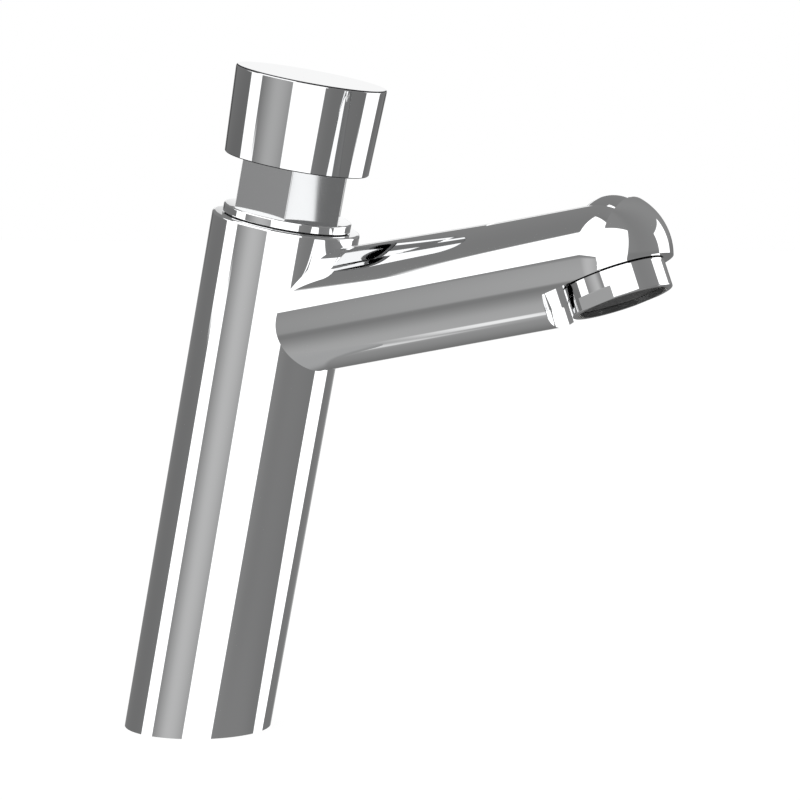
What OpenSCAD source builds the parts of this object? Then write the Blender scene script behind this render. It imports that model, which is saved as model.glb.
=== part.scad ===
// Push timed tap: a leaning round column with a spout, a sliding push button and the
// self-closing cartridge inside it. Millimetres, +Z up, +X towards the outlet.
// The origin is the centre of the base, where the axis of the column meets it.

/* [Column] */
// Diameter of the column
body_d = 45; // [42:0.5:50]
// Length of the column along its axis, from the base to the top rim
body_len = 161.6; // [158:0.2:180]
// Lean of the column towards the outlet, in degrees
body_lean = 12.7; // [8:0.1:16]
// Rounding of the top rim
rim_round = 0.8; // [0.4:0.1:1.5]
// Diameter of the hollow cast in the lower part of the column
core_d = 32; // [28:1:34]
// Height along the column of the floor of that hollow
core_floor = 25; // [24:1:40]

/* [Spout] */
// Height along the column at which the axis of the spout meets the axis of the column
spout_height = 129.8; // [127:0.2:132]
// Rise of the spout above the horizontal, in degrees
spout_rise = 10; // [6:0.5:14]
// Distance along the spout from the axis of the column to the axis of the outlet
spout_reach = 120.6; // [100:0.2:140]
// Diameter of the spout at the axis of the column
spout_root_d = 34.2; // [33.6:0.2:36]
// Diameter of the spout at the axis of the outlet
spout_end_d = 31.9; // [31:0.1:32.4]
// Diameter of the waterway into the outlet head
waterway_d = 10; // [8:0.5:11]
// Diameter of the hollow cast in the spout
spout_core_d = 22; // [16:1:24]
// Distance along the spout from the axis of the column to the end of that hollow
spout_core_end = 94; // [80:1:96]
// Diameter of the saddle on top of the spout
saddle_d = 29.5; // [28:0.5:31]
// Rise of the saddle above the horizontal, in degrees
saddle_rise = 8.2; // [7.8:0.1:8.6]
// Height of the axis of the saddle above that of the spout, at the axis of the column
saddle_lift = 4.4; // [4:0.1:5]

/* [Outlet head] */
// Tilt of the outlet axis from the vertical, in degrees
outlet_tilt = 21; // [15:0.5:25]
// Diameter of the dome on top of the end of the spout
dome_d = 24; // [23:0.2:26]
// Distance from the outlet axis forward to the centre of the dome
dome_forward = 2; // [1:0.1:3]
// Height of the centre of the dome above the axis of the spout
dome_lift = 5.7; // [5:0.1:6]
// Diameter of the proud nose in front of the ball
nose_d = 36.4; // [36:0.1:38]
// Height of the centre of the nose above the axis of the spout
nose_lift = 1.4; // [1:0.1:1.8]
// Distance from the outlet axis forward to the edge of the nose
nose_edge = 6; // [5:0.2:8]
// Lean of that edge forward from the upright, in degrees
nose_edge_lean = 5; // [2:0.5:8]
// Distance from the axis of the spout down the outlet axis to the face of the aerator ring
ring_drop = 12.4; // [11.5:0.1:13.5]
// Diameter of the clearance cut round the aerator ring
pocket_d = 42.2; // [38:0.2:44]
// Diameter of the threaded socket for the aerator
aerator_thread_d = 24; // [22:0.5:24]
// Height of the underside of the head above the face of the aerator ring
rim_lift = 8.3; // [8:0.1:9]
// Depth of the threaded socket for the aerator
aerator_thread_len = 8; // [7:0.5:9]
// Diameter of the water chamber above the aerator
head_room_d = 18; // [16:0.5:19]
// Height of the water chamber above the aerator
head_room_h = 8; // [7:0.5:9]

/* [Aerator] */
// Diameter of the aerator ring
ring_d = 29; // [28:0.5:31]
// Gap between the aerator ring and the underside of the head
ring_gap = 0.3; // [0.2:0.1:0.5]
// Width across the two wrench flats of the ring
ring_flats = 27; // [26.5:0.1:27.6]
// Height of the wrench flats
flats_h = 3.6; // [2.5:0.1:4.5]
// Width of the lip round the screen
lip_w = 1.7; // [1.2:0.1:2]
// Height of the lip below the screen
lip_h = 1.3; // [0.8:0.1:2]
// Thickness of the screen
screen_h = 0.8; // [0.5:0.1:1.2]
// Spacing of the holes in the screen
screen_pitch = 2.4; // [2:0.1:4]
// Width of the bars between the holes of the screen
screen_bar = 0.6; // [0.4:0.1:0.8]
// Thickness of the sealing washer above the aerator
aerator_gasket_h = 1.6; // [1:0.1:2]
// Thickness of the flow regulator
regulator_h = 3; // [2:0.5:4]

/* [Push button] */
// Diameter of the button at its lower edge
button_low_d = 43.8; // [42.6:0.1:45]
// Diameter of the button at its top
button_top_d = 45.6; // [44:0.1:47]
// Height of the button
button_h = 26.3; // [25:0.1:30]
// Thickness of the top of the button
button_top_t = 2.8; // [2:0.1:4]
// Diameter of the bore of the button
button_bore_d = 38.8; // [38.2:0.1:39.4]
// Rounding of the top edge of the button
button_round = 1; // [0.5:0.1:1.5]
// Gap from the rim of the column to the lower edge of the button
button_gap = 17.9; // [16.5:0.1:22]
// Stroke of the button
stroke = 11; // [7:0.5:12]
// Diameter of the hub inside the button
hub_d = 14; // [12.5:0.5:15]
// Height of the hub inside the button
hub_h = 10; // [8:0.5:11]

/* [Gland] */
// Width across the flats of the hexagon
hex_af = 31; // [30:0.5:32.5]
// Turn of the hexagon where it is screwed home, in degrees
hex_turn = 4; // [0:1:59]
// Height of the hexagon
hex_h = 23.6; // [20:0.2:24]
// Diameter of the collar under the hexagon
collar_d = 38.9; // [38:0.1:41]
// Height of the collar
collar_h = 2.3; // [1.5:0.1:3]
// Thickness of the gasket under the collar
gland_gasket_h = 0.5; // [0.4:0.1:1]
// Diameter of the thread of the gland
gland_thread_d = 34; // [33:0.5:36]
// Length of the thread of the gland
gland_thread_len = 12; // [10:0.5:13]
// Diameter of the spring pocket in the gland
pocket_spring_d = 22; // [20.6:0.2:24]
// Depth of the spring pocket in the gland
pocket_spring_h = 16; // [14:0.5:17]

/* [Cartridge] */
// Diameter of the well in the column
well_d = 31; // [30:0.5:32]
// Height along the column of the floor of the well
well_floor = 98; // [96:0.5:99]
// Thickness of the valve seat
seat_h = 6; // [5:0.5:6.5]
// Diameter of the hole in the valve seat
seat_hole_d = 14; // [12:0.5:15]
// Height of the sealing lip under the seat
seat_lip_h = 1; // [0.6:0.1:1.5]
// Diameter of the waist of the barrel
waist_d = 26; // [25:0.5:28]
// Bore of the barrel, in which the piston slides
barrel_bore_d = 22; // [21:0.5:23]
// Diameter of the four ports in the barrel
port_d = 9; // [7:0.5:10]
// Thickness of the web across the barrel
web_h = 3; // [2:0.5:3.5]
// Height of the web above the seat
web_rise = 17; // [14:0.5:17.5]
// Height of the piston
piston_h = 8; // [7:0.5:8.5]
// Gap between the piston and the gland at rest
piston_gap = 1.6; // [1.2:0.1:2]
// Diameter of the metering pin
metering_pin_d = 1.2; // [1:0.1:1.3]
// Gap between the collar of the stem and the metering pin
metering_pin_gap = 0.5; // [0.4:0.1:0.8]
// Diameter of the inlet chamber under the valve seat
chamber_d = 24; // [23:0.5:26]

/* [Stem] */
// Diameter of the stem
stem_d = 8; // [7:0.5:8.5]
// Diameter of the lower end of the stem, through the washer
stem_end_d = 6; // [5:0.5:6.5]
// Width across the flats of the lock nut under the button
stem_nut_af = 13; // [12:0.5:13.5]
// Height of the lock nut under the button
stem_nut_h = 5; // [4:0.5:6]
// Diameter of the valve washer
washer_d = 19; // [18:0.5:19.5]
// Thickness of the valve washer
washer_h = 3.5; // [3:0.1:4]
// Width across the flats of the washer nut
washer_nut_af = 10; // [9:0.5:12]
// Height of the washer nut
washer_nut_h = 4.4; // [3:0.2:5]

/* [Return spring] */
// Diameter of the wire
spring_wire_d = 1.8; // [1.2:0.1:2]
// Outer diameter of the spring
spring_d = 19.8; // [19.4:0.1:20.2]
// Number of turns
spring_turns = 8; // [6:1:8]

/* [Base] */
// Diameter of the inlet thread
inlet_d = 15; // [13:0.5:17]
// Length of the inlet thread
inlet_len = 12; // [10:0.5:14]
// Diameter of the hole for the fixing stud
stud_hole_d = 6.8; // [5:0.1:7]
// Depth of the hole for the fixing stud
stud_hole_len = 14; // [10:0.5:18]
// Distance of the fixing stud in front of the inlet
stud_off = 14.6; // [13.5:0.1:15]
// Distance from the side of the column in to the base seal
base_seal_in = 1.2; // [0.8:0.1:1.4]
// Width of the base seal
base_seal_w = 1.8; // [1.5:0.1:1.9]
// Thickness of the base seal
base_seal_h = 2; // [1.5:0.1:3]
// Diameter of the strainer above the inlet
strainer_d = 13; // [11:0.5:13.5]
// Height of the strainer
strainer_h = 2.4; // [2:0.1:3]
// Thickness of the flow restrictor
restrictor_h = 1.6; // [1:0.1:2]
// Hole in the flow restrictor
restrictor_hole_d = 5; // [3:0.5:7]

/* [Clearances] */
// Radial running clearance of sliding and turning fits
run_gap = 0.05; // [0.02:0.01:0.1]
// Radial clearance of pieces that are screwed or pushed together
fit_gap = 0.05; // [0.02:0.01:0.1]
// Gap between the closed valve washer and its seat
seat_gap = 0.1; // [0.05:0.05:0.3]

/* [Hidden] */
$fn = 96;
cut = 1;          // how far a cutting shape runs past the face it cuts
arc_steps = 6;    // straight steps in a small rounding

// Places in the frame of the part
column_dir = [sin(body_lean), 0, cos(body_lean)];
spout_dir = [cos(spout_rise), 0, sin(spout_rise)];
spout_up = [-sin(spout_rise), 0, cos(spout_rise)];
outlet_up = [-sin(outlet_tilt), 0, cos(outlet_tilt)];
outlet_forward = [cos(outlet_tilt), 0, sin(outlet_tilt)];
spout_start = spout_height * column_dir;
outlet_cross = spout_start + spout_reach * spout_dir;
ring_face = outlet_cross - ring_drop * outlet_up;
dome_centre = outlet_cross + dome_forward * spout_dir + dome_lift * spout_up;
nose_centre = outlet_cross + nose_lift * outlet_up;

// Heights along the axis of the column, from the base up
seat_top = well_floor + seat_h;
gland_low = body_len - gland_thread_len;
gland_seat = body_len + gland_gasket_h;
hex_low = gland_seat + collar_h;
hex_top = hex_low + hex_h;
spring_floor = hex_top - pocket_spring_h;
button_low = body_len + button_gap;
button_top = button_low + button_h;
button_roof = button_top - button_top_t;
hub_low = button_roof - hub_h;
piston_top = gland_low - piston_gap;
piston_low = piston_top - piston_h;
washer_top = well_floor - seat_lip_h - seat_gap;
washer_low = washer_top - washer_h;
cup_plate = 2;
cup_wall = 1.2;
cup_low = washer_low - cup_plate;
stem_end_below_nut = 1.5;
stem_low = cup_low - washer_nut_h - stem_end_below_nut;
chamber_room = 3;
chamber_floor = stem_low - stroke - chamber_room;
stem_top = button_roof - cut;

// Heights along the outlet axis, from the face of the aerator ring up
ring_top = rim_lift - ring_gap;
socket_top = rim_lift + aerator_thread_len;
neck_top = socket_top - aerator_gasket_h;
insert_low = lip_h + screen_h;
insert_flange_top = insert_low + 4.4;
neck_wall = 1.55;
neck_bore_r = aerator_thread_d / 2 - fit_gap - neck_wall;
regulator_top = neck_top - 0.4;
regulator_low = regulator_top - regulator_h;
head_room_mid = socket_top + head_room_h / 2;

// Distances from the axis of the column
base_seal_r = body_d / 2 - base_seal_in;

// Heights above the base
strainer_low = inlet_len + restrictor_h;
inlet_top = strainer_low + strainer_h;

// Sections of the seals
oring_d = 1.5;
oring_groove_w = 2.2;
oring_groove_r = well_d / 2 - fit_gap - oring_d;
barrel_land_h = 5.6;
barrel_foot_h = 3;
stem_seal_d = 1.24;
stem_seal_bore_r = stem_d / 2 + 1.35;
retainer_h = 2;
stem_seal_room = 2.4;
bush_d = 12;
bush_low = gland_low + retainer_h + stem_seal_room + cut;
stem_hole_gap = 0.4;
piston_side_gap = 0.6;
piston_r = barrel_bore_d / 2 - piston_side_gap;
lip_seal_h = 3;
lip_seal_depth = 2.2;
orifice_gap = 0.3;
circlip_h = 0.8;
circlip_r = stem_d / 2 + 1.5;
circlip_groove = 0.5;
stem_collar_h = 1.8;
stem_collar_r = stem_d / 2 + 1.5;
metering_pin_off = stem_collar_r + metering_pin_gap + metering_pin_d / 2;

// Shapes that repeat

// Puts its children at a height along the leaning axis of the column
module on_column(height = 0) {
    rotate([0, body_lean, 0]) translate([0, 0, height]) children();
}

// Puts its children on the spout, with +Z along it from the axis of the column
module on_spout(along = 0) {
    translate(spout_start) rotate([0, 90 - spout_rise, 0]) translate([0, 0, along]) children();
}

// Puts its children on the outlet axis, with +Z up from the face of the aerator ring
module on_outlet(height = 0) {
    translate(ring_face) rotate([0, -outlet_tilt, 0]) translate([0, 0, height]) children();
}

// Straight tube with a bore all the way through
module tube(outer_r, inner_r, height) {
    difference() {
        cylinder(r = outer_r, h = height);
        translate([0, 0, -cut]) cylinder(r = inner_r, h = height + 2 * cut);
    }
}

// Round seal ring, centred on its own middle plane
module oring(inner_r, section_d) {
    rotate_extrude() translate([inner_r + section_d / 2, 0]) circle(d = section_d, $fn = 32);
}

// Hexagonal nut with a plain bore
module hex_nut(across_flats, bore_r, height) {
    difference() {
        cylinder(d = across_flats / cos(30), h = height, $fn = 6);
        translate([0, 0, -cut]) cylinder(r = bore_r, h = height + 2 * cut);
    }
}

// Points of a quarter circle at an outer top corner, from the side round to the top
function corner_arc(side, top, r) =
    [for (i = [0:arc_steps]) [side - r + r * cos(90 * i / arc_steps), top - r + r * sin(90 * i / arc_steps)]];

// Body casting: column, spout, saddle and outlet head in one piece of brass

module column_form() {
    run_out = body_d / 2 * tan(body_lean) + cut;
    difference() {
        on_column() rotate_extrude()
            polygon(concat([[0, body_len], [0, -run_out], [body_d / 2, -run_out]],
                           corner_arc(body_d / 2, body_len, rim_round)));
        translate([-body_d, -body_d, -3 * run_out]) cube([2 * body_d, 2 * body_d, 3 * run_out]);
    }
}

// The spout tapers evenly to the axis of the outlet and ends there in half a ball
module spout_form() {
    on_spout() rotate_extrude() {
        polygon([[0, 0], [spout_root_d / 2, 0], [spout_end_d / 2, spout_reach], [0, spout_reach]]);
        translate([0, spout_reach]) intersection() {
            circle(d = spout_end_d);
            square(spout_end_d);
        }
    }
}

// A ball whose underside is flat, in the plane of the underside of the head
module head_ball(centre, d) {
    from_face = centre - ring_face;
    on_outlet(rim_lift) translate([from_face * outlet_forward, 0, 0]) rotate_extrude()
        intersection() {
            translate([0, from_face * outlet_up - rim_lift]) circle(d = d);
            square([d, d]);
        }
}

// Everything in front of the edge of the nose
module front_space() {
    translate(outlet_cross) rotate([0, nose_edge_lean, 0])
        translate([nose_edge, -body_d, -body_len]) cube([2 * body_d, 2 * body_d, 2 * body_len]);
}

// The saddle is a thinner, flatter cylinder that sinks into the top of the spout
module saddle_form() {
    length = saddle_lift / tan(spout_rise - saddle_rise) * 0.6;
    translate(spout_start + [0, 0, saddle_lift]) rotate([0, 90 - saddle_rise, 0])
        cylinder(d = saddle_d, h = length);
}

module head_form() {
    difference() {
        union() {
            spout_form();
            head_ball(dome_centre, dome_d);
        }
        front_space();
    }
    intersection() {
        head_ball(nose_centre, nose_d);
        front_space();
    }
}

// Water runs from the well round the cartridge into the chamber over the aerator
module waterway() {
    start = spout_start + waterway_d * spout_dir;
    run = ring_face + head_room_mid * outlet_up - start;
    translate(start) rotate([0, 90 - atan2(run[2], run[0]), 0]) cylinder(d = waterway_d, h = norm(run));
    on_spout(waterway_d) cylinder(d = spout_core_d, h = spout_core_end - waterway_d);
}

module column_bores() {
    on_column(well_floor) cylinder(d = well_d, h = body_len);
    on_column(gland_low) cylinder(d = gland_thread_d, h = body_len);
    on_column(chamber_floor) cylinder(d = chamber_d, h = well_floor - chamber_floor + cut);
    on_column(core_floor) cylinder(d = core_d, h = chamber_floor - core_floor + cut);
    on_column(inlet_top) cylinder(d = waterway_d, h = core_floor - inlet_top + cut);
}

module base_bores() {
    translate([0, 0, -cut]) cylinder(d = inlet_d, h = inlet_len + cut);
    translate([0, 0, inlet_len]) cylinder(d = strainer_d, h = inlet_top - inlet_len + cut);
    translate([stud_off, 0, -cut]) cylinder(d = stud_hole_d, h = stud_hole_len + cut);
    translate([0, 0, -cut]) tube(base_seal_r, base_seal_r - base_seal_w, base_seal_h + cut);
}

module outlet_bores() {
    on_outlet(rim_lift - body_d) cylinder(d = pocket_d, h = body_d);
    on_outlet(rim_lift - cut) cylinder(d = aerator_thread_d, h = aerator_thread_len + cut);
    on_outlet(socket_top - cut) cylinder(d = head_room_d, h = head_room_h + cut);
}

module body_casting() {
    color("gainsboro") difference() {
        union() {
            column_form();
            head_form();
            saddle_form();
        }
        column_bores();
        base_bores();
        waterway();
        outlet_bores();
    }
}

// Base and inlet

module base_seal() {
    color("dimgray") tube(base_seal_r - fit_gap, base_seal_r - base_seal_w + fit_gap, base_seal_h);
}

module inlet_restrictor() {
    color("white") translate([0, 0, inlet_len])
        tube(strainer_d / 2 - fit_gap, restrictor_hole_d / 2, restrictor_h);
}

// The strainer is a cup whose floor has a ring of holes round a middle one
module inlet_strainer() {
    floor_t = 0.8;
    wall = 1;
    hole_d = 1.2;
    rings = [[1, 0], [6, strainer_d * 0.14], [12, strainer_d * 0.29]];
    color("silver") translate([0, 0, strainer_low]) difference() {
        cylinder(d = strainer_d - 2 * fit_gap, h = strainer_h);
        translate([0, 0, floor_t]) cylinder(d = strainer_d - 2 * wall, h = strainer_h);
        for (ring = rings, i = [0:ring[0] - 1])
            rotate(i * 360 / ring[0]) translate([ring[1], 0, -cut])
                cylinder(d = hole_d, h = floor_t + 2 * cut, $fn = 16);
    }
}

// Valve seat and cartridge barrel

module valve_seat() {
    lip_w = 1.5;
    color("goldenrod") on_column(well_floor) difference() {
        union() {
            cylinder(d = well_d - 2 * fit_gap, h = seat_h);
            translate([0, 0, -seat_lip_h]) cylinder(d = seat_hole_d + 2 * lip_w, h = seat_lip_h + cut);
        }
        translate([0, 0, -seat_lip_h - cut]) cylinder(d = seat_hole_d, h = seat_h + seat_lip_h + 2 * cut);
        translate([0, 0, (seat_h - oring_groove_w) / 2]) tube(well_d, oring_groove_r, oring_groove_w);
    }
}

module seat_oring() {
    color("black") on_column(well_floor + seat_h / 2) oring(oring_groove_r, oring_d);
}

module cartridge_barrel() {
    length = gland_low - seat_top;
    land_low = length - barrel_land_h;
    groove_low = length - barrel_land_h / 2 - oring_groove_w / 2;
    color("whitesmoke") on_column(seat_top) difference() {
        cylinder(d = well_d - 2 * fit_gap, h = length);
        translate([0, 0, barrel_foot_h]) tube(well_d, waist_d / 2, land_low - barrel_foot_h);
        translate([0, 0, groove_low]) tube(well_d, oring_groove_r, oring_groove_w);
        translate([0, 0, web_rise + web_h]) cylinder(d = barrel_bore_d, h = length);
        translate([0, 0, -cut]) cylinder(d = barrel_bore_d, h = web_rise + cut);
        cylinder(r = stem_d / 2 + stem_hole_gap, h = length);
        translate([0, 0, (web_rise + barrel_foot_h) / 2]) for (side = [0:3])
            rotate([0, 90, 90 * side]) cylinder(d = port_d, h = well_d);
    }
}

module barrel_oring() {
    color("black") on_column(gland_low - barrel_land_h / 2) oring(oring_groove_r, oring_d);
}

// The metering pin stands in the gland and keeps the orifice of the piston clean
module metering_pin() {
    seated = 3;
    reach = piston_gap + piston_h + stroke - 2;
    color("silver") on_column(gland_low - reach) translate([-metering_pin_off, 0, 0])
        cylinder(d = metering_pin_d, h = reach + seated - fit_gap);
}

// Gland and what guides and seals the stem

module hex_gland() {
    chamfer = 0.6;
    pin_hole_len = 3;
    color("gainsboro") difference() {
        union() {
            on_column(gland_low) cylinder(r = gland_thread_d / 2 - fit_gap, h = gland_seat - gland_low + cut);
            on_column(gland_seat) rotate_extrude()
                polygon(concat([[0, collar_h], [0, 0], [collar_d / 2, 0]],
                               [[collar_d / 2, collar_h - chamfer], [collar_d / 2 - chamfer, collar_h]]));
            on_column(hex_low - cut) rotate(hex_turn) cylinder(d = hex_af / cos(30), h = hex_h + cut, $fn = 6);
        }
        on_column(spring_floor) cylinder(d = pocket_spring_d, h = pocket_spring_h + cut);
        on_column(bush_low) cylinder(d = bush_d, h = spring_floor - bush_low + cut);
        on_column(gland_low) cylinder(r = stem_d / 2 + stem_hole_gap, h = spring_floor - gland_low);
        on_column(gland_low - cut) cylinder(r = stem_seal_bore_r, h = retainer_h + stem_seal_room + cut);
        on_column(gland_low - cut) translate([-metering_pin_off, 0, 0])
            cylinder(d = metering_pin_d + 2 * fit_gap, h = pin_hole_len + cut);
    }
}

module gland_gasket() {
    set_in = 1;
    color("dimgray") on_column(body_len)
        tube(collar_d / 2 - set_in, gland_thread_d / 2 + fit_gap, gland_gasket_h);
}

module stem_bush() {
    color("ivory") on_column(bush_low)
        tube(bush_d / 2 - fit_gap, stem_d / 2 + run_gap, spring_floor - bush_low);
}

module stem_seal() {
    color("black") on_column(gland_low + retainer_h + stem_seal_room / 2)
        oring(stem_d / 2 + run_gap, stem_seal_d);
}

module seal_retainer() {
    color("goldenrod") on_column(gland_low)
        tube(stem_seal_bore_r - fit_gap, stem_d / 2 + stem_hole_gap / 2, retainer_h);
}

// Return spring: one wire wound evenly from the floor of the gland's pocket to the button

function spring_point(turn) =
    let (r = (spring_d - spring_wire_d) / 2,
         low = spring_floor + spring_wire_d / 2,
         high = button_roof - spring_wire_d / 2)
    [r * cos(360 * turn), r * sin(360 * turn), low + (high - low) * turn / spring_turns];

module return_spring() {
    sides = 6;
    rings_per_turn = 8;
    rings = spring_turns * rings_per_turn;
    pitch = (button_roof - spring_floor - spring_wire_d) / spring_turns;
    slope = atan2(pitch, PI * (spring_d - spring_wire_d));
    echo(spring_gap_between_turns = pitch * cos(slope) - spring_wire_d);
    points = [for (i = [0:rings], k = [0:sides - 1])
        let (turn = i / rings_per_turn, centre = spring_point(turn), around = 360 * k / sides,
             outward = [cos(360 * turn), sin(360 * turn), 0],
             upward = [-sin(slope) * -sin(360 * turn), -sin(slope) * cos(360 * turn), cos(slope)])
        centre + spring_wire_d / 2 * (cos(around) * outward + sin(around) * upward)];
    side_faces = [for (i = [0:rings - 1], k = [0:sides - 1])
        let (a = i * sides + k, b = i * sides + (k + 1) % sides)
        each [[a, a + sides, b], [b, a + sides, b + sides]]];
    low_end = [for (k = [1:sides - 2]) [0, k, k + 1]];
    high_end = [for (k = [1:sides - 2]) [rings * sides, rings * sides + k + 1, rings * sides + k]];
    color("silver") on_column() polyhedron(points = points, faces = concat(side_faces, low_end, high_end));
}

// Push button, stem and all that moves with them

module push_button() {
    low_r = button_low_d / 2;
    top_r = button_top_d / 2;
    hole_r = stem_d / 2 + fit_gap;
    color("gainsboro") on_column() rotate_extrude()
        polygon(concat([[0, button_top], [0, button_roof], [hole_r, button_roof], [hole_r, hub_low],
                        [hub_d / 2, hub_low], [hub_d / 2, button_roof], [button_bore_d / 2, button_roof],
                        [button_bore_d / 2, button_low], [low_r, button_low]],
                       corner_arc(top_r, button_top, button_round)));
}

module stem() {
    color("silver") difference() {
        union() {
            on_column(washer_top) cylinder(d = stem_d, h = stem_top - washer_top);
            on_column(stem_low) cylinder(d = stem_end_d, h = washer_top - stem_low + cut);
            on_column(piston_low - stem_collar_h) cylinder(r = stem_collar_r, h = stem_collar_h);
        }
        on_column(piston_top) tube(circlip_r, stem_d / 2 - circlip_groove, circlip_h);
    }
}

module stem_nut() {
    color("goldenrod") on_column(hub_low - stem_nut_h)
        hex_nut(stem_nut_af, stem_d / 2 + fit_gap, stem_nut_h);
}

module piston() {
    color("white") on_column(piston_low) difference() {
        cylinder(r = piston_r, h = piston_h);
        translate([0, 0, -cut]) cylinder(r = stem_d / 2 + fit_gap, h = piston_h + 2 * cut);
        translate([0, 0, (piston_h - lip_seal_h) / 2])
            tube(barrel_bore_d, piston_r - lip_seal_depth, lip_seal_h);
        translate([-metering_pin_off, 0, -cut])
            cylinder(r = metering_pin_d / 2 + orifice_gap, h = piston_h + 2 * cut);
    }
}

// The lip flares upwards, so that water passes it only on the way down
module piston_lip_seal() {
    inner = piston_r - lip_seal_depth + fit_gap;
    outer = barrel_bore_d / 2 - run_gap;
    back = 0.9;
    low = fit_gap;
    high = lip_seal_h - fit_gap;
    color("black") on_column(piston_low + (piston_h - lip_seal_h) / 2) rotate_extrude()
        polygon([[inner, low], [outer - back, low], [outer, high], [outer - back, high],
                 [inner + back, low + back], [inner + back, high], [inner, high]]);
}

module piston_circlip() {
    gap_deg = 50;
    color("silver") on_column(piston_top) difference() {
        tube(circlip_r, stem_d / 2 - circlip_groove + fit_gap, circlip_h);
        rotate(-gap_deg / 2) translate([0, 0, -cut]) rotate_extrude(angle = gap_deg)
            square([2 * circlip_r, circlip_h + 2 * cut]);
    }
}

module valve_washer() {
    color("black") on_column(washer_low) tube(washer_d / 2, stem_end_d / 2 + fit_gap, washer_h);
}

module washer_cup() {
    outer = washer_d / 2 + cup_wall;
    color("goldenrod") on_column(cup_low) difference() {
        cylinder(r = outer, h = cup_plate + washer_h / 2);
        translate([0, 0, cup_plate]) cylinder(r = washer_d / 2 + fit_gap, h = washer_h);
        translate([0, 0, -cut]) cylinder(r = stem_end_d / 2 + fit_gap, h = cup_plate + 2 * cut);
    }
}

module washer_nut() {
    color("goldenrod") on_column(cup_low - washer_nut_h)
        hex_nut(washer_nut_af, stem_end_d / 2 + fit_gap, washer_nut_h);
}

// Aerator

// The ring has a lip round the screen, two wrench flats and a threaded neck
module aerator_ring() {
    chamfer = 0.5;
    cavity_r = ring_d / 2 - lip_w;
    neck_r = aerator_thread_d / 2 - fit_gap;
    color("gainsboro") on_outlet() difference() {
        rotate_extrude() polygon([
            [cavity_r, 0], [ring_d / 2 - chamfer, 0], [ring_d / 2, chamfer], [ring_d / 2, ring_top],
            [neck_r, ring_top], [neck_r, neck_top], [neck_bore_r, neck_top],
            [neck_bore_r, insert_flange_top], [cavity_r, insert_flange_top]]);
        for (side = [-1, 1]) translate([-ring_d, side * (ring_flats / 2 + ring_d / 2) - ring_d / 2, -cut])
            cube([2 * ring_d, ring_d, flats_h + cut]);
    }
}

module aerator_insert() {
    flange_r = ring_d / 2 - lip_w - fit_gap;
    core_r = neck_bore_r - fit_gap;
    jets = 12;
    jet_d = 2.2;
    color("white") on_outlet(insert_low) difference() {
        union() {
            cylinder(r = flange_r, h = insert_flange_top - insert_low);
            cylinder(r = core_r, h = regulator_low - insert_low);
        }
        for (i = [0:jets - 1]) rotate(i * 360 / jets) translate([core_r - jet_d, 0, -cut])
            cylinder(d = jet_d, h = regulator_low - insert_low + 2 * cut, $fn = 24);
        translate([0, 0, -cut]) cylinder(d = core_r / 2, h = regulator_low - insert_low + 2 * cut);
    }
}

// The screen is a disc with a grid of square holes inside a plain rim
module aerator_screen() {
    outer = ring_d / 2 - lip_w - fit_gap;
    rim = 1.2;
    count = floor(outer / screen_pitch);
    hole = screen_pitch - screen_bar;
    color("gray") on_outlet(lip_h) difference() {
        cylinder(r = outer, h = screen_h);
        for (i = [-count:count], j = [-count:count])
            if (norm([abs(i) + 0.5, abs(j) + 0.5]) * screen_pitch < outer - rim)
                translate([i * screen_pitch - hole / 2, j * screen_pitch - hole / 2, -cut])
                    cube([hole, hole, screen_h + 2 * cut]);
    }
}

module flow_regulator() {
    slots = 6;
    hub = 3;
    outer = neck_bore_r - fit_gap;
    color("skyblue") on_outlet(regulator_low) difference() {
        cylinder(r = outer, h = regulator_h);
        for (i = [0:slots - 1]) rotate(i * 360 / slots) translate([hub, -cut / 2, -cut])
            cube([outer - hub - cut, cut, regulator_h + 2 * cut]);
    }
}

module aerator_gasket() {
    color("black") on_outlet(neck_top)
        tube(aerator_thread_d / 2 - fit_gap, head_room_d / 2, aerator_gasket_h);
}

body_casting();
base_seal();
inlet_restrictor();
inlet_strainer();
valve_seat();
seat_oring();
cartridge_barrel();
barrel_oring();
metering_pin();
hex_gland();
gland_gasket();
stem_bush();
stem_seal();
seal_retainer();
return_spring();
push_button();
stem();
stem_nut();
piston();
piston_lip_seal();
piston_circlip();
valve_washer();
washer_cup();
washer_nut();
aerator_ring();
aerator_insert();
aerator_screen();
flow_regulator();
aerator_gasket();
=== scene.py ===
import math

import bpy
from mathutils import Matrix, Vector


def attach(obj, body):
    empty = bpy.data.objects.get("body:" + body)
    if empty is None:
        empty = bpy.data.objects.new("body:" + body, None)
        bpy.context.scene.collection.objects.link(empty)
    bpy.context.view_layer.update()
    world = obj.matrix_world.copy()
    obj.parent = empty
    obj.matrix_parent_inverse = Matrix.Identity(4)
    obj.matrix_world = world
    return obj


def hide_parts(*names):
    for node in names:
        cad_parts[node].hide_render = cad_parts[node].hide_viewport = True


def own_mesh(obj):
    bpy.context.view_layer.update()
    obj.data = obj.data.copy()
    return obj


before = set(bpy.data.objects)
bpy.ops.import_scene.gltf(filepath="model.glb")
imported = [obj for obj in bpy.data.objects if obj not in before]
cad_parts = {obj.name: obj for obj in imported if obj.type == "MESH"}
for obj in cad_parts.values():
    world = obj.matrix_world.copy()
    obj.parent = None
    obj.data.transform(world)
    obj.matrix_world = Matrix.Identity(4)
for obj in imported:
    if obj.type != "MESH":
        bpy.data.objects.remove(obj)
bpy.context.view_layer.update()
bpy.ops.object.select_all(action="DESELECT")

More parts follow.
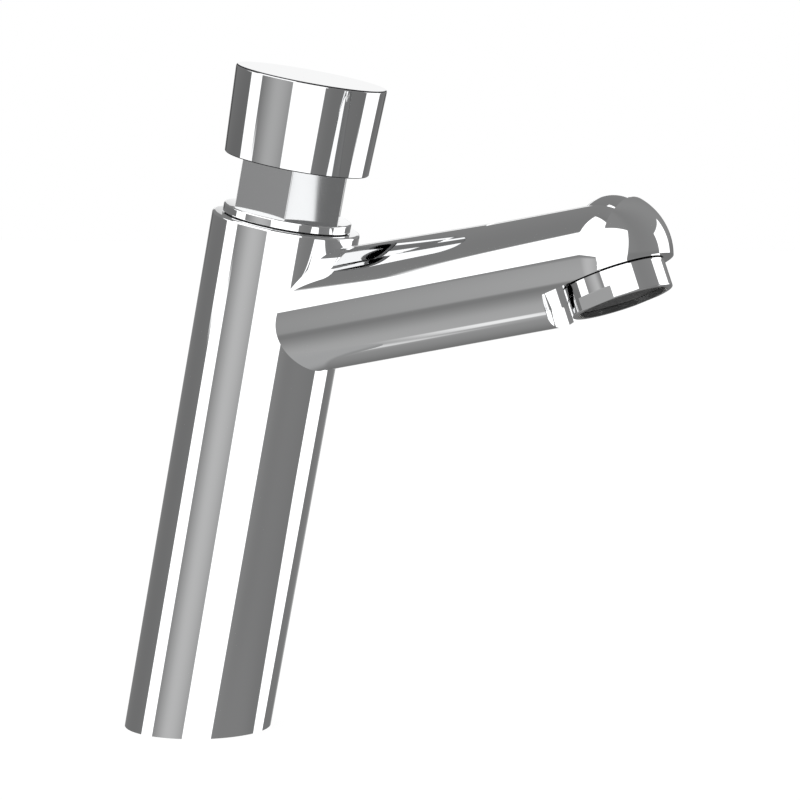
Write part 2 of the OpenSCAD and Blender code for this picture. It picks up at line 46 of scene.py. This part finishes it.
# Camera. A long lens a little above the tap, looking at it from its right front,
# set so that the column leans and the spout rises as they do in the photograph.
MM = 0.001
LOOK_AZIMUTH = math.radians(34.53)
LOOK_HEIGHT = math.radians(4.62)
LOOK_RIGHT = Vector((math.cos(LOOK_AZIMUTH), math.sin(LOOK_AZIMUTH), 0))
LOOK_BACK = Vector((math.sin(LOOK_AZIMUTH) * math.cos(LOOK_HEIGHT),
                    -math.cos(LOOK_AZIMUTH) * math.cos(LOOK_HEIGHT), math.sin(LOOK_HEIGHT)))
LOOK_UP = LOOK_BACK.cross(LOOK_RIGHT)
CAMERA_ASIDE = 63.4547
CAMERA_LIFT = 101.7095
CAMERA_AWAY = 804.77
bpy.ops.object.camera_add(
    location=(CAMERA_ASIDE * LOOK_RIGHT + CAMERA_LIFT * LOOK_UP + CAMERA_AWAY * LOOK_BACK) * MM)
camera = bpy.context.object
camera.rotation_euler = Matrix((LOOK_RIGHT, LOOK_UP, LOOK_BACK)).transposed().to_euler()
camera.data.sensor_width = 36
camera.data.lens = 115.34
camera.data.clip_start = 0.05
camera.data.clip_end = 20
bpy.context.scene.camera = camera

# Body casting. Cast brass, ground, polished and chrome plated: a leaning column, a rising
# spout that ends in half a ball, a flatter saddle in its top, a low dome and a proud nose
# over the outlet. The well, the waterways and the base are bored after casting.
COLUMN_TURN = Matrix.Rotation(math.radians(12.7), 4, "Y")
SPOUT_ANGLE = math.radians(10)
SADDLE_ANGLE = math.radians(8.2)
OUTLET_ANGLE = math.radians(21)
SPOUT_HEIGHT = 129.8
SPOUT_LENGTH = 120.6
SPOUT_START = COLUMN_TURN @ Vector((0, 0, SPOUT_HEIGHT))
SPOUT_TURN = Matrix.Translation(SPOUT_START * MM) @ Matrix.Rotation(math.pi / 2 - SPOUT_ANGLE, 4, "Y")
SPOUT_DIR = Vector((math.cos(SPOUT_ANGLE), 0, math.sin(SPOUT_ANGLE)))
SPOUT_UP = Vector((-math.sin(SPOUT_ANGLE), 0, math.cos(SPOUT_ANGLE)))
OUTLET_UP = Vector((-math.sin(OUTLET_ANGLE), 0, math.cos(OUTLET_ANGLE)))
OUTLET_CROSS = SPOUT_START + SPOUT_LENGTH * SPOUT_DIR
RING_FACE = OUTLET_CROSS - 12.4 * OUTLET_UP
OUTLET_TURN = Matrix.Translation(RING_FACE * MM) @ Matrix.Rotation(-OUTLET_ANGLE, 4, "Y")


def only(piece):
    """Selects one piece and makes it active."""
    bpy.ops.object.select_all(action="DESELECT")
    piece.select_set(True)
    bpy.context.view_layer.objects.active = piece


def settle(piece, place):
    """Puts a piece in its place, with the place in its mesh."""
    only(piece)
    piece.matrix_world = place @ piece.matrix_world
    bpy.ops.object.transform_apply(location=True, rotation=True, scale=True)
    return piece


def turned(name, outline, place, steps=360):
    """Turns an outline of (radius, height) points, in millimetres, round its axis."""
    bpy.ops.object.select_all(action="DESELECT")
    bpy.ops.mesh.primitive_plane_add(size=MM)
    piece = bpy.context.object
    piece.name = name
    bpy.ops.object.mode_set(mode="EDIT")
    bpy.ops.mesh.select_mode(type="VERT")
    bpy.ops.mesh.select_all(action="SELECT")
    bpy.ops.mesh.merge(type="CENTER")
    bpy.ops.transform.translate(value=(outline[0][0] * MM, 0, outline[0][1] * MM))
    for (r0, z0), (r1, z1) in zip(outline, outline[1:]):
        bpy.ops.mesh.extrude_vertices_move(
            TRANSFORM_OT_translate={"value": ((r1 - r0) * MM, 0, (z1 - z0) * MM)})
    bpy.ops.mesh.select_all(action="SELECT")
    bpy.ops.mesh.spin(steps=steps, angle=2 * math.pi, center=(0, 0, 0), axis=(0, 0, 1))
    bpy.ops.mesh.select_all(action="SELECT")
    bpy.ops.mesh.remove_doubles(threshold=1e-6)
    bpy.ops.mesh.normals_make_consistent(inside=False)
    bpy.ops.object.mode_set(mode="OBJECT")
    return settle(piece, place)


def rounded(name, radius, place):
    """A ball of a radius in millimetres, with its poles up and down the outlet."""
    bpy.ops.object.select_all(action="DESELECT")
    bpy.ops.mesh.primitive_uv_sphere_add(segments=256, ring_count=128, radius=radius * MM)
    piece = bpy.context.object
    piece.name = name
    return settle(piece, place @ Matrix.Rotation(-OUTLET_ANGLE, 4, "Y"))


def joined(piece, other, operation):
    """Fuses another solid to a piece, or cuts it out of it, and removes the other."""
    only(piece)
    step = piece.modifiers.new("step", "BOOLEAN")
    step.operation = operation
    step.solver = "EXACT"
    step.object = other
    bpy.ops.object.modifier_apply(modifier=step.name)
    bpy.data.objects.remove(other)


def sliced(piece, point, normal, keep_back):
    """Cuts a piece with a plane and closes the cut."""
    only(piece)
    bpy.ops.object.mode_set(mode="EDIT")
    bpy.ops.mesh.select_all(action="SELECT")
    bpy.ops.mesh.bisect(plane_co=point, plane_no=normal, use_fill=True,
                        clear_outer=keep_back, clear_inner=not keep_back)
    bpy.ops.object.mode_set(mode="OBJECT")


def polished(piece, angle=15):
    """Smooths a finished piece, with its edges sharp and its flat faces flat."""
    only(piece)
    bpy.ops.object.mode_set(mode="EDIT")
    bpy.ops.mesh.select_all(action="SELECT")
    bpy.ops.mesh.remove_doubles(threshold=3e-6)
    bpy.ops.mesh.dissolve_degenerate(threshold=1e-6)
    bpy.ops.object.mode_set(mode="OBJECT")
    bpy.ops.object.shade_smooth_by_angle(angle=math.radians(angle))
    step = piece.modifiers.new("normals", "WEIGHTED_NORMAL")
    step.keep_sharp = True
    step.weight = 50
    bpy.ops.object.modifier_apply(modifier=step.name)


def arc(centre, radius, start, end, steps):
    """Points of an arc in an outline, from one angle to another, in degrees."""
    turns = [math.radians(start + (end - start) * i / steps) for i in range(steps + 1)]
    return [(centre[0] + radius * math.cos(t), centre[1] + radius * math.sin(t)) for t in turns]


def along(start, end, count):
    """Evenly spaced points of an outline, from one to another."""
    return [(start[0] + (end[0] - start[0]) * i / count, start[1] + (end[1] - start[1]) * i / count)
            for i in range(count + 1)]


def bore(body, place, radius, low, high, steps=180):
    """Cuts a round hole along the axis of a place."""
    tool = turned("tool", [(0, low), (radius, low), (radius, high), (0, high)], place, steps)
    joined(body, tool, "DIFFERENCE")


COLUMN_LENGTH = 161.6
COLUMN_RADIUS = 22.5
COLUMN_EDGE = 0.8
body = turned("tap_casting", [(0, -8), (COLUMN_RADIUS, -8)]
              + along((COLUMN_RADIUS, 100), (COLUMN_RADIUS, 158), 24)
              + arc((COLUMN_RADIUS - COLUMN_EDGE, COLUMN_LENGTH - COLUMN_EDGE), COLUMN_EDGE, 0, 90, 12)
              + [(0, COLUMN_LENGTH)], COLUMN_TURN)
sliced(body, (0, 0, 0), (0, 0, 1), False)

SPOUT_ROOT_RADIUS = 17.1
SPOUT_END_RADIUS = 15.95
spout = turned("spout", [(0, 0)] + along((SPOUT_ROOT_RADIUS, 0), (SPOUT_END_RADIUS, SPOUT_LENGTH), 48)
               + arc((0, SPOUT_LENGTH), SPOUT_END_RADIUS, 0, 90, 96)[1:], SPOUT_TURN)

# The dome is what two balls share that stand side by side.
DOME_RADIUS = 14.33
DOME_CENTRE = OUTLET_CROSS + 2 * SPOUT_DIR + 4.2 * SPOUT_UP
DOME_ASIDE = Vector((0, 4.67, 0))
dome = rounded("dome", DOME_RADIUS, Matrix.Translation((DOME_CENTRE + DOME_ASIDE) * MM))
dome_side = rounded("dome_side", DOME_RADIUS, Matrix.Translation((DOME_CENTRE - DOME_ASIDE) * MM))
joined(dome, dome_side, "INTERSECT")

NOSE_RADIUS = 18.2
NOSE_LEAN = math.radians(5)
NOSE_WAY = Vector((math.cos(NOSE_LEAN), 0, -math.sin(NOSE_LEAN)))
nose = rounded("nose", NOSE_RADIUS, Matrix.Translation((OUTLET_CROSS + 1.4 * OUTLET_UP) * MM))
sliced(nose, (OUTLET_CROSS + 6 * NOSE_WAY) * MM, NOSE_WAY, False)

SADDLE_RADIUS = 14.75
SADDLE_LENGTH = 84
SADDLE_LIFT = Vector((0, 0, 4.4))
saddle_place = Matrix.Translation((SPOUT_START + SADDLE_LIFT) * MM) @ Matrix.Rotation(
    math.pi / 2 - SADDLE_ANGLE, 4, "Y")
saddle = turned("saddle", [(0, 0)] + along((SADDLE_RADIUS, 0), (SADDLE_RADIUS, SADDLE_LENGTH), 34)
                + [(0, SADDLE_LENGTH)], saddle_place)
for form in (spout, saddle, dome):
    joined(body, form, "UNION")
sliced(body, (OUTLET_CROSS + 6.5 * NOSE_WAY) * MM, NOSE_WAY, True)
joined(body, nose, "UNION")

RIM_LIFT = 8.3
WATER_START = SPOUT_START + 10 * SPOUT_DIR
WATER_RUN = RING_FACE + 20.3 * OUTLET_UP - WATER_START
water_place = Matrix.Translation(WATER_START * MM) @ Matrix.Rotation(
    math.pi / 2 - math.atan2(WATER_RUN.z, WATER_RUN.x), 4, "Y")
base_place = Matrix.Identity(4)
stud_place = Matrix.Translation((14.6 * MM, 0, 0))
bore(body, OUTLET_TURN, 21.1, -40, RIM_LIFT, 256)
for place, radius, low, high in (
    (OUTLET_TURN, 12, 7, 16.3),  # outlet thread
    (OUTLET_TURN, 9, 16, 24.3),  # room over the aerator
    (water_place, 5, 0, WATER_RUN.length),  # waterway to the outlet
    (SPOUT_TURN, 11, 10, 94),  # core of the spout
    (COLUMN_TURN, 15.5, 98, 170),  # well of the cartridge
    (COLUMN_TURN, 17, 149.6, 170),  # thread of the gland
    (COLUMN_TURN, 12, 71.5, 99),  # inlet chamber
    (COLUMN_TURN, 16, 25, 72.5),  # core of the column
    (COLUMN_TURN, 5, 16, 26),  # passage from the inlet
    (base_place, 7.5, -1, 12),  # inlet thread
    (base_place, 6.5, 11, 16),  # room of the strainer
    (stud_place, 3.4, -1, 14),  # stud hole
):
    bore(body, place, radius, low, high)
groove = turned("groove", [(19.5, -1), (21.3, -1), (21.3, 2), (19.5, 2), (19.5, -1)], base_place, 180)
joined(body, groove, "DIFFERENCE")
polished(body)


def finish_nodes(name):
    """A new material, with its node tree and its main shader."""
    material = bpy.data.materials.new(name)
    material.use_nodes = True
    return material, material.node_tree, material.node_tree.nodes["Principled BSDF"]


def grain(tree, shader, scale, low, high, stretch=(1, 1, 1), bump=0.0, bump_size=0.0001):
    """Uneven roughness and a fine relief, from noise at a real size."""
    where = tree.nodes.new("ShaderNodeTexCoord")
    place = tree.nodes.new("ShaderNodeMapping")
    noise = tree.nodes.new("ShaderNodeTexNoise")
    spread = tree.nodes.new("ShaderNodeMapRange")
    place.inputs["Scale"].default_value = stretch
    noise.inputs["Scale"].default_value = scale
    noise.inputs["Detail"].default_value = 4
    spread.inputs["To Min"].default_value = low
    spread.inputs["To Max"].default_value = high
    tree.links.new(where.outputs["Object"], place.inputs["Vector"])
    tree.links.new(place.outputs["Vector"], noise.inputs["Vector"])
    tree.links.new(noise.outputs["Fac"], spread.inputs["Value"])
    tree.links.new(spread.outputs["Result"], shader.inputs["Roughness"])
    if bump:
        relief = tree.nodes.new("ShaderNodeBump")
        relief.inputs["Strength"].default_value = bump
        relief.inputs["Distance"].default_value = bump_size
        tree.links.new(noise.outputs["Fac"], relief.inputs["Height"])
        tree.links.new(relief.outputs["Normal"], shader.inputs["Normal"])
    return noise


def metal(name, colour, scale, low, high, **relief):
    """A bare or plated metal."""
    material, tree, shader = finish_nodes(name)
    shader.inputs["Base Color"].default_value = (*colour, 1)
    shader.inputs["Metallic"].default_value = 1
    grain(tree, shader, scale, low, high, **relief)
    return material


def dress(piece, material):
    """Gives a piece its one material."""
    piece.data.materials.clear()
    piece.data.materials.append(material)


plated = metal("polished_chrome", (0.90, 0.905, 0.91), 60, 0.015, 0.04)
dress(body, plated)
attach(body, "tap_body")
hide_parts("body_casting")

# Base and inlet. A moulded seal in the groove of the base, and above the inlet thread
# a moulded restrictor and a pressed stainless strainer.


def moulded(name, colour, scale, low, high, bump=0.2):
    """A moulded rubber or plastic, a little mottled."""
    material, tree, shader = finish_nodes(name)
    noise = grain(tree, shader, scale, low, high, bump=bump, bump_size=0.00005)
    shade = tree.nodes.new("ShaderNodeMix")
    shade.data_type = "RGBA"
    shade.inputs["A"].default_value = (*[0.85 * c for c in colour], 1)
    shade.inputs["B"].default_value = (*colour, 1)
    tree.links.new(noise.outputs["Fac"], shade.inputs["Factor"])
    tree.links.new(shade.outputs["Result"], shader.inputs["Base Color"])
    return material


rubber = moulded("nitrile_rubber", (0.03, 0.03, 0.032), 900, 0.55, 0.75)
acetal = moulded("acetal", (0.86, 0.85, 0.80), 400, 0.35, 0.5)
stainless = metal("stainless", (0.62, 0.62, 0.61), 300, 0.18, 0.32, stretch=(1, 1, 6), bump=0.1)
dress(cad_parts["base_seal"], rubber)
dress(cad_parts["inlet_restrictor"], acetal)
dress(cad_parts["inlet_strainer"], stainless)

# Valve seat and cartridge. The seat is turned brass, the barrel moulded acetal with four
# ports, both sealed in the well by O-rings. A stainless pin hangs down through the piston.
brass = metal("turned_brass", (0.80, 0.62, 0.33), 500, 0.2, 0.35, bump=0.15)
for node in ("valve_seat", "seal_retainer", "stem_nut", "washer_cup", "washer_nut"):
    dress(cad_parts[node], brass)
for node in ("cartridge_barrel", "stem_bush", "piston"):
    dress(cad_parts[node], acetal)
for node in ("seat_oring", "barrel_oring", "gland_gasket", "stem_seal", "piston_lip_seal", "valve_washer"):
    dress(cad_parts[node], rubber)
for node in ("metering_pin", "stem", "piston_circlip"):
    dress(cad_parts[node], stainless)

# Hexagonal gland. Turned from hexagon bar and plated, with satin flats: a thread into the
# column, a round collar with a rim over the gasket, and a tall hexagon with a pocket for
# the spring.
GLAND_SEAT = COLUMN_LENGTH + 0.5
GLAND_LOW = 149.6
THREAD_RADIUS = 16.95
COLLAR_RADIUS = 19.45
COLLAR_EDGE = 0.5
HEX_LOW = GLAND_SEAT + 2.3
HEX_TOP = HEX_LOW + 23.6
HEX_ACROSS = 31
HEX_TURN = math.radians(34)
HEX_DEPTH = 24.6
gland = turned("gland", [(0, GLAND_LOW), (THREAD_RADIUS, GLAND_LOW), (THREAD_RADIUS, GLAND_SEAT),
                         (18.45, GLAND_SEAT), (18.45, GLAND_SEAT - 0.25), (19.35, GLAND_SEAT - 0.25),
                         (COLLAR_RADIUS, GLAND_SEAT - 0.15), (COLLAR_RADIUS, HEX_LOW - COLLAR_EDGE)]
               + arc((COLLAR_RADIUS - COLLAR_EDGE, HEX_LOW - COLLAR_EDGE), COLLAR_EDGE, 0, 90, 8)
               + [(0, HEX_LOW)], COLUMN_TURN)
bpy.ops.mesh.primitive_cylinder_add(vertices=6, radius=HEX_ACROSS / 2 / math.cos(math.pi / 6) * MM,
                                    depth=HEX_DEPTH * MM, rotation=(0, 0, HEX_TURN),
                                    location=(0, 0, (HEX_TOP - HEX_DEPTH / 2) * MM))
hexagon = bpy.context.object
hexagon.name = "hexagon"
settle(hexagon, COLUMN_TURN)
edges = hexagon.modifiers.new("edges", "BEVEL")
edges.width = 0.2 * MM
edges.segments = 3
only(hexagon)
bpy.ops.object.modifier_apply(modifier="edges")
joined(gland, hexagon, "UNION")
bore(gland, COLUMN_TURN, 11, HEX_TOP - 16, HEX_TOP + 1)
bore(gland, COLUMN_TURN, 6, 155, HEX_TOP - 15.9)
bore(gland, COLUMN_TURN, 5.35, 149, 154)
bore(gland, COLUMN_TURN, 4.4, 153, 156)
polished(gland)
dress(gland, plated)


def shaded(piece, place, low, high, near, far, material):
    """Gives a second material to the faces between two heights and two radii along a place."""
    piece.data.materials.append(material)
    back = place.inverted()
    for face in piece.data.polygons:
        spot = back @ face.center / MM
        if low < spot.z < high and near < math.hypot(spot.x, spot.y) < far:
            face.material_index = len(piece.data.materials) - 1


satin = metal("satin_chrome", (0.66, 0.665, 0.67), 200, 0.07, 0.1)
shaded(gland, COLUMN_TURN, HEX_LOW + 0.1, HEX_TOP - 0.1, 14.5, 20, satin)
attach(gland, "tap_body")
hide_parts("hex_gland")

# Return spring. Drawn stainless wire, wound evenly, between the floor of the gland's pocket
# and the roof of the button, which it lifts.
SPRING_LOW = HEX_TOP - 16
SPRING_HIGH = 203.0
SPRING_RADIUS = 9
SPRING_TURNS = 8
WIRE = 0.9
bpy.ops.mesh.primitive_circle_add(vertices=16, radius=WIRE * MM, fill_type="NGON",
                                  rotation=(math.pi / 2, 0, 0),
                                  location=(SPRING_RADIUS * MM, 0, (SPRING_LOW + WIRE) * MM))
spring = bpy.context.object
spring.name = "spring_coil"
bpy.ops.object.transform_apply(location=True, rotation=True, scale=True)
winding = spring.modifiers.new("winding", "SCREW")
winding.angle = SPRING_TURNS * 2 * math.pi
winding.screw_offset = (SPRING_HIGH - SPRING_LOW - 2 * WIRE) * MM
winding.steps = winding.render_steps = SPRING_TURNS * 40
bpy.ops.object.modifier_apply(modifier="winding")
settle(spring, COLUMN_TURN)
polished(spring, 40)
dress(spring, stainless)
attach(spring, "tap_body")
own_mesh(spring)
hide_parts("return_spring")

# Push button. A turned and plated cap that flares a little to its top, with its two edges
# broken by thin chamfers painted near black, a painted shade line along each edge. It is hollow,
# with a hub in the middle that is screwed on the stem.
BUTTON_LOW = COLUMN_LENGTH + 17.9
BUTTON_TOP = BUTTON_LOW + 26.3
BUTTON_ROOF = BUTTON_TOP - 2.8
HUB_LOW = BUTTON_ROOF - 10
button = turned("push_cap", [(0, BUTTON_ROOF), (4.05, BUTTON_ROOF), (4.05, HUB_LOW), (7, HUB_LOW),
                             (7, BUTTON_ROOF), (19.4, BUTTON_ROOF), (19.4, BUTTON_LOW + 0.2),
                             (19.6, BUTTON_LOW), (21.6, BUTTON_LOW), (21.9, BUTTON_LOW + 0.3)]
                + arc((22.4, BUTTON_TOP - 0.65), 0.4, 0, 50, 8)
                + [(22.4, BUTTON_TOP), (0, BUTTON_TOP)], COLUMN_TURN)
polished(button)
dress(button, metal("button_chrome", (0.74, 0.745, 0.75), 60, 0.015, 0.04))
# A near-black finish for thin edge faces: painted shade, dark lines along the button's edges and in the
# gap over the aerator ring.
painted_edge_shade = metal("painted_shade_edge", (0.06, 0.06, 0.065), 300, 0.3, 0.4)
# Painted shade on the button's lower and upper chamfers.
shaded(button, COLUMN_TURN, BUTTON_LOW - 0.1, BUTTON_LOW + 0.25, 21.5, 22, painted_edge_shade)
shaded(button, COLUMN_TURN, BUTTON_TOP - 0.3, BUTTON_TOP - 0.05, 22.4, 22.7, painted_edge_shade)
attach(button, "button")
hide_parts("push_button")

# Aerator. A turned and plated ring with two wrench flats, screwed up into the outlet, its top face
# and threaded neck painted near black as painted shade in the gap under the outlet's rim. It holds
# a fine wire screen, a moulded core with jets, a flow regulator and a rubber washer.
ring = turned("aerator_shell", [(12.8, 0), (14, 0)] + arc((14.1, 0.4), 0.4, -80, 0, 6)
              + [(14.5, 8), (11.95, 8), (11.95, 14.7), (10.4, 14.7), (10.4, 6.5), (12.8, 6.5), (12.8, 0)],
              OUTLET_TURN, 256)
ACROSS_FLATS = 27
FLAT_DEEP = 10
for side in (-1, 1):
    aside = side * (ACROSS_FLATS + FLAT_DEEP) / 2
    bpy.ops.mesh.primitive_cube_add(size=MM, location=(0, aside * MM, 1.3 * MM))
    flat = bpy.context.object
    flat.scale = (40, FLAT_DEEP, 4.6)
    bpy.ops.object.transform_apply(location=True, rotation=True, scale=True)
    settle(flat, OUTLET_TURN)
    joined(ring, flat, "DIFFERENCE")
polished(ring)
dress(ring, plated)
# The ring's top face and threaded neck take the near-black finish: painted shade in the gap under the
# outlet's rim.
shaded(ring, OUTLET_TURN, 7.95, 14.6, 11.9, 14.4, painted_edge_shade)
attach(ring, "tap_body")
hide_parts("aerator_ring")
dress(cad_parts["aerator_insert"], acetal)
dress(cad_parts["aerator_gasket"], rubber)
dress(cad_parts["flow_regulator"], moulded("regulator_plastic", (0.25, 0.5, 0.72), 400, 0.35, 0.5))

SCREEN_RADIUS = 12.7
bpy.ops.mesh.primitive_grid_add(x_subdivisions=36, y_subdivisions=36, size=26 * MM,
                                location=(0, 0, 1.7 * MM))
screen = bpy.context.object
screen.name = "wire_screen"
bpy.ops.object.transform_apply(location=True, rotation=True, scale=True)
bpy.ops.object.mode_set(mode="EDIT")
bpy.ops.mesh.select_all(action="DESELECT")
bpy.ops.object.mode_set(mode="OBJECT")
for corner in screen.data.vertices:
    corner.select = Vector(corner.co[:2]).length > SCREEN_RADIUS * MM
bpy.ops.object.mode_set(mode="EDIT")
bpy.ops.mesh.delete(type="VERT")
bpy.ops.object.mode_set(mode="OBJECT")
wires = screen.modifiers.new("wires", "WIREFRAME")
wires.thickness = 0.24 * MM
wires.use_even_offset = True
only(screen)
bpy.ops.object.modifier_apply(modifier="wires")
settle(screen, OUTLET_TURN)
# The wire is made near black: painted shade of the recess inside the outlet.
dress(screen, metal("screen_wire_painted_shade", (0.11, 0.11, 0.11), 300, 0.35, 0.5))
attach(screen, "tap_body")
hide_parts("aerator_screen")

# Studio. A pale floor, an even soft light, and large white panels on grey walls that the plated
# pieces mirror: before the tap, beside it, overhead to the left, and a low card far behind it.
bpy.ops.object.select_all(action="DESELECT")
bpy.ops.mesh.primitive_plane_add(size=12)
floor = bpy.context.object
floor.name = "floor"
floor.visible_glossy = False
pale, floor_tree, floor_shader = finish_nodes("pale_floor")
floor_shader.inputs["Base Color"].default_value = (0.16, 0.16, 0.16, 1)
floor_shader.inputs["Roughness"].default_value = 0.9
floor_shader.inputs["Specular IOR Level"].default_value = 0
floor_shader.inputs["Emission Color"].default_value = (1, 1, 1, 1)
floor_shader.inputs["Emission Strength"].default_value = 0.9
dress(floor, pale)

world = bpy.data.worlds.new("studio")
bpy.context.scene.world = world
world.use_nodes = True
world.cycles.sampling_method = "NONE"
studio = world.node_tree
studio.nodes.clear()


def put(kind, **values):
    """A node of the studio's world, with its inputs linked or set."""
    node = studio.nodes.new(kind)
    for key, value in values.items():
        if key.startswith("in_"):
            socket = node.inputs[int(key[3:])]
            if isinstance(value, bpy.types.NodeSocket):
                studio.links.new(value, socket)
            else:
                socket.default_value = value
        else:
            setattr(node, key, value)
    return node.outputs[0]


def reckon(operation, first, second=0.0, third=0.0):
    """A sum of the studio's world."""
    return put("ShaderNodeMath", operation=operation, in_0=first, in_1=second, in_2=third)


def grey(level):
    """The linear value of a grey that a screen shows as level, of 255."""
    share = level / 255
    return ((share + 0.055) / 1.055) ** 2.4 if share > 0.04045 else share / 12.92


direction = put("ShaderNodeVectorRotate", rotation_type="Z_AXIS", in_0=put("ShaderNodeTexCoord"),
                in_3=math.pi / 2 - LOOK_AZIMUTH)
apart = studio.nodes.new("ShaderNodeSeparateXYZ")
studio.links.new(direction, apart.inputs[0])
azimuth = reckon("DEGREES", reckon("ARCTAN2", apart.outputs["Y"], apart.outputs["X"]))
height = reckon("DEGREES", reckon("ARCSINE", apart.outputs["Z"]))


def beyond(line, soft=1.2):
    """One to the inside of a line a*azimuth + b*height + c > 0, nought outside."""
    a, b, c = line
    size = math.hypot(a, b)
    value = reckon("MULTIPLY_ADD", azimuth, a / size, reckon("MULTIPLY_ADD", height, b / size, c / size))
    return put("ShaderNodeMapRange", interpolation_type="SMOOTHSTEP",
               in_0=value, in_1=-soft / 2, in_2=soft / 2)


def toward(azimuth, height):
    """The direction to an azimuth and a height, in degrees."""
    flat = math.cos(math.radians(height))
    return Vector((flat * math.cos(math.radians(azimuth)), flat * math.sin(math.radians(azimuth)),
                   math.sin(math.radians(height))))


def panel(corners, soft=1.2):
    """A straight-edged panel by its corners (azimuth, height), in degrees, listed anticlockwise."""
    share = None
    for first, second in zip(corners, corners[1:] + corners[:1]):
        facing = put("ShaderNodeVectorMath", operation="DOT_PRODUCT", in_0=direction,
                     in_1=toward(*first).cross(toward(*second)).normalized())
        facing = facing.node.outputs["Value"]
        side = put("ShaderNodeMapRange", interpolation_type="SMOOTHSTEP", in_0=facing,
                   in_1=math.radians(-soft / 2), in_2=math.radians(soft / 2))
        share = side if share is None else reckon("MULTIPLY", share, side)
    return share


def levels(value, stops, low=-180, high=180):
    """Greys along an azimuth or a height."""
    spread = put("ShaderNodeMapRange", in_0=value, in_1=low, in_2=high)
    ramp = studio.nodes.new("ShaderNodeValToRGB")
    ramp.color_ramp.interpolation = "CARDINAL"
    studio.links.new(spread, ramp.inputs[0])
    while len(ramp.color_ramp.elements) < len(stops):
        ramp.color_ramp.elements.new(0.5)
    for stop, (at, level) in zip(ramp.color_ramp.elements, stops):
        stop.position = (at - low) / (high - low)
        stop.color = (grey(level),) * 3 + (1,)
    return ramp.outputs["Color"]


def mix_out(share, first, second):
    """The colour output of a mix of two lights."""
    node = studio.nodes.new("ShaderNodeMix")
    node.data_type = "RGBA"
    for name, value in (("Factor", share), ("A", first), ("B", second)):
        socket = node.inputs[name]
        if isinstance(value, bpy.types.NodeSocket):
            studio.links.new(value, socket)
        else:
            socket.default_value = value
    return node.outputs["Result"]


# The walls are greys that change slowly round the tap, each held to its range of heights.
walls = levels(azimuth, [(-180, 165), (-170, 165), (-160, 120), (-80, 120), (-60, 165), (-45, 180),
                         (-25, 155), (30, 125), (60, 120), (160, 125), (175, 185), (180, 165)])
above = levels(azimuth, [(-180, 125), (-100, 120), (-60, 130), (30, 130), (60, 125), (135, 135),
                         (180, 125)])
under = levels(height, [(-90, 165), (-60, 160), (-40, 125), (-30, 125)], -90, 90)
behind = levels(height, [(-90, 150), (-60, 140), (-20, 110), (-13, 125)], -90, 90)
turned_away = reckon("ABSOLUTE", azimuth)
light = mix_out(beyond((0, 1, -5.5), 5), walls, above)
light = mix_out(beyond((0, -1, -31), 5), light, under)
far_side = reckon("MULTIPLY", put("ShaderNodeMapRange", in_0=turned_away, in_1=142, in_2=162),
                  beyond((0, -1, -14), 5))
light = mix_out(far_side, light, behind)

# Two dark panels and two small pale ones behind the tap, then the white panels.
SOFT_EDGE = 3
for corners, level in (
    ([(-166, 1.5), (-153, 1.5), (-153, 9), (-166, 9)], 82),
    ([(158, -3.5), (171, -3.5), (171, 3), (158, 3)], 88),
    ([(-152, -64.5), (-136, -64.5), (-136, -61.5), (-152, -61.5)], 215),
    ([(-140, -70), (-120, -70), (-120, -66.5), (-140, -66.5)], 235),
):
    light = mix_out(panel(corners, SOFT_EDGE), light, (grey(level),) * 3 + (1,))
WHITE = (1.4, 1.4, 1.4, 1)
for corners in (
    [(-22.2, -32), (22.6, -32), (23.8, -14), (-25.5, -14)],
    [(-25.5, -14), (28.3, -14), (28.9, -3.1), (-20, -3.1)],
    [(-25.5, -14), (26.6, -14), (40.1, 42.6), (-10.9, 49.8), (-31.5, 8)],
    [(-96, -32), (-74.3, -32), (-74.3, -1.6), (-96, 0.6)],
    [(-99.8, 0.8), (-77.3, -1.5), (-77.3, 8), (-99.8, 8)],
    [(-72.5, 4.7), (-67.1, 10.1), (-10.6, 58.6), (-9.1, 75.8), (-141.7, 61.3), (-89.1, 37.8)],
    [(-66.6, 10), (-31.5, 8), (-20, 20), (-10.9, 49.8), (-9.1, 75.8)],
    [(-76, 4.5), (-72.5, 4.7), (-67.1, 10.1), (-72, 30), (-82, 30)],
    [(-98, 5), (-70, 7), (-80, 27), (-92, 34), (-113, 24)],
    [(108, -28), (134, -28), (131.2, -18.5), (97, -18.5), (98, -23.5)],
    [(98.7, -19), (131.4, -19), (129.8, -12.5), (98.7, -12.5)],
    [(98.7, -12.5), (134, -12.5), (136, 25), (97, 25)],
):
    light = mix_out(panel(corners), light, WHITE)
back_card = reckon("MULTIPLY", beyond((0, 1, -8.5), 2), beyond((0, -1, 16), 2))
back_card = reckon("MULTIPLY", back_card, put("ShaderNodeMapRange", in_0=turned_away, in_1=168, in_2=171))
light = mix_out(back_card, light, (0.93, 0.93, 0.93, 1))

# Polished plate sees the panels at their own levels, everything else an even light.
PLATE = 0.905
ray = studio.nodes.new("ShaderNodeLightPath")
even = put("ShaderNodeBackground", in_0=(1, 1, 1, 1), in_1=0.85)
shown = put("ShaderNodeBackground", in_0=(1, 1, 1, 1), in_1=1.0)
mirrored = put("ShaderNodeBackground", in_0=light, in_1=1 / PLATE)
seen = put("ShaderNodeMixShader", in_0=ray.outputs["Is Glossy Ray"], in_1=even, in_2=mirrored)
seen = put("ShaderNodeMixShader", in_0=ray.outputs["Is Camera Ray"], in_1=seen, in_2=shown)
out = studio.nodes.new("ShaderNodeOutputWorld")
studio.links.new(seen, out.inputs["Surface"])

bpy.context.scene.view_settings.view_transform = "Standard"
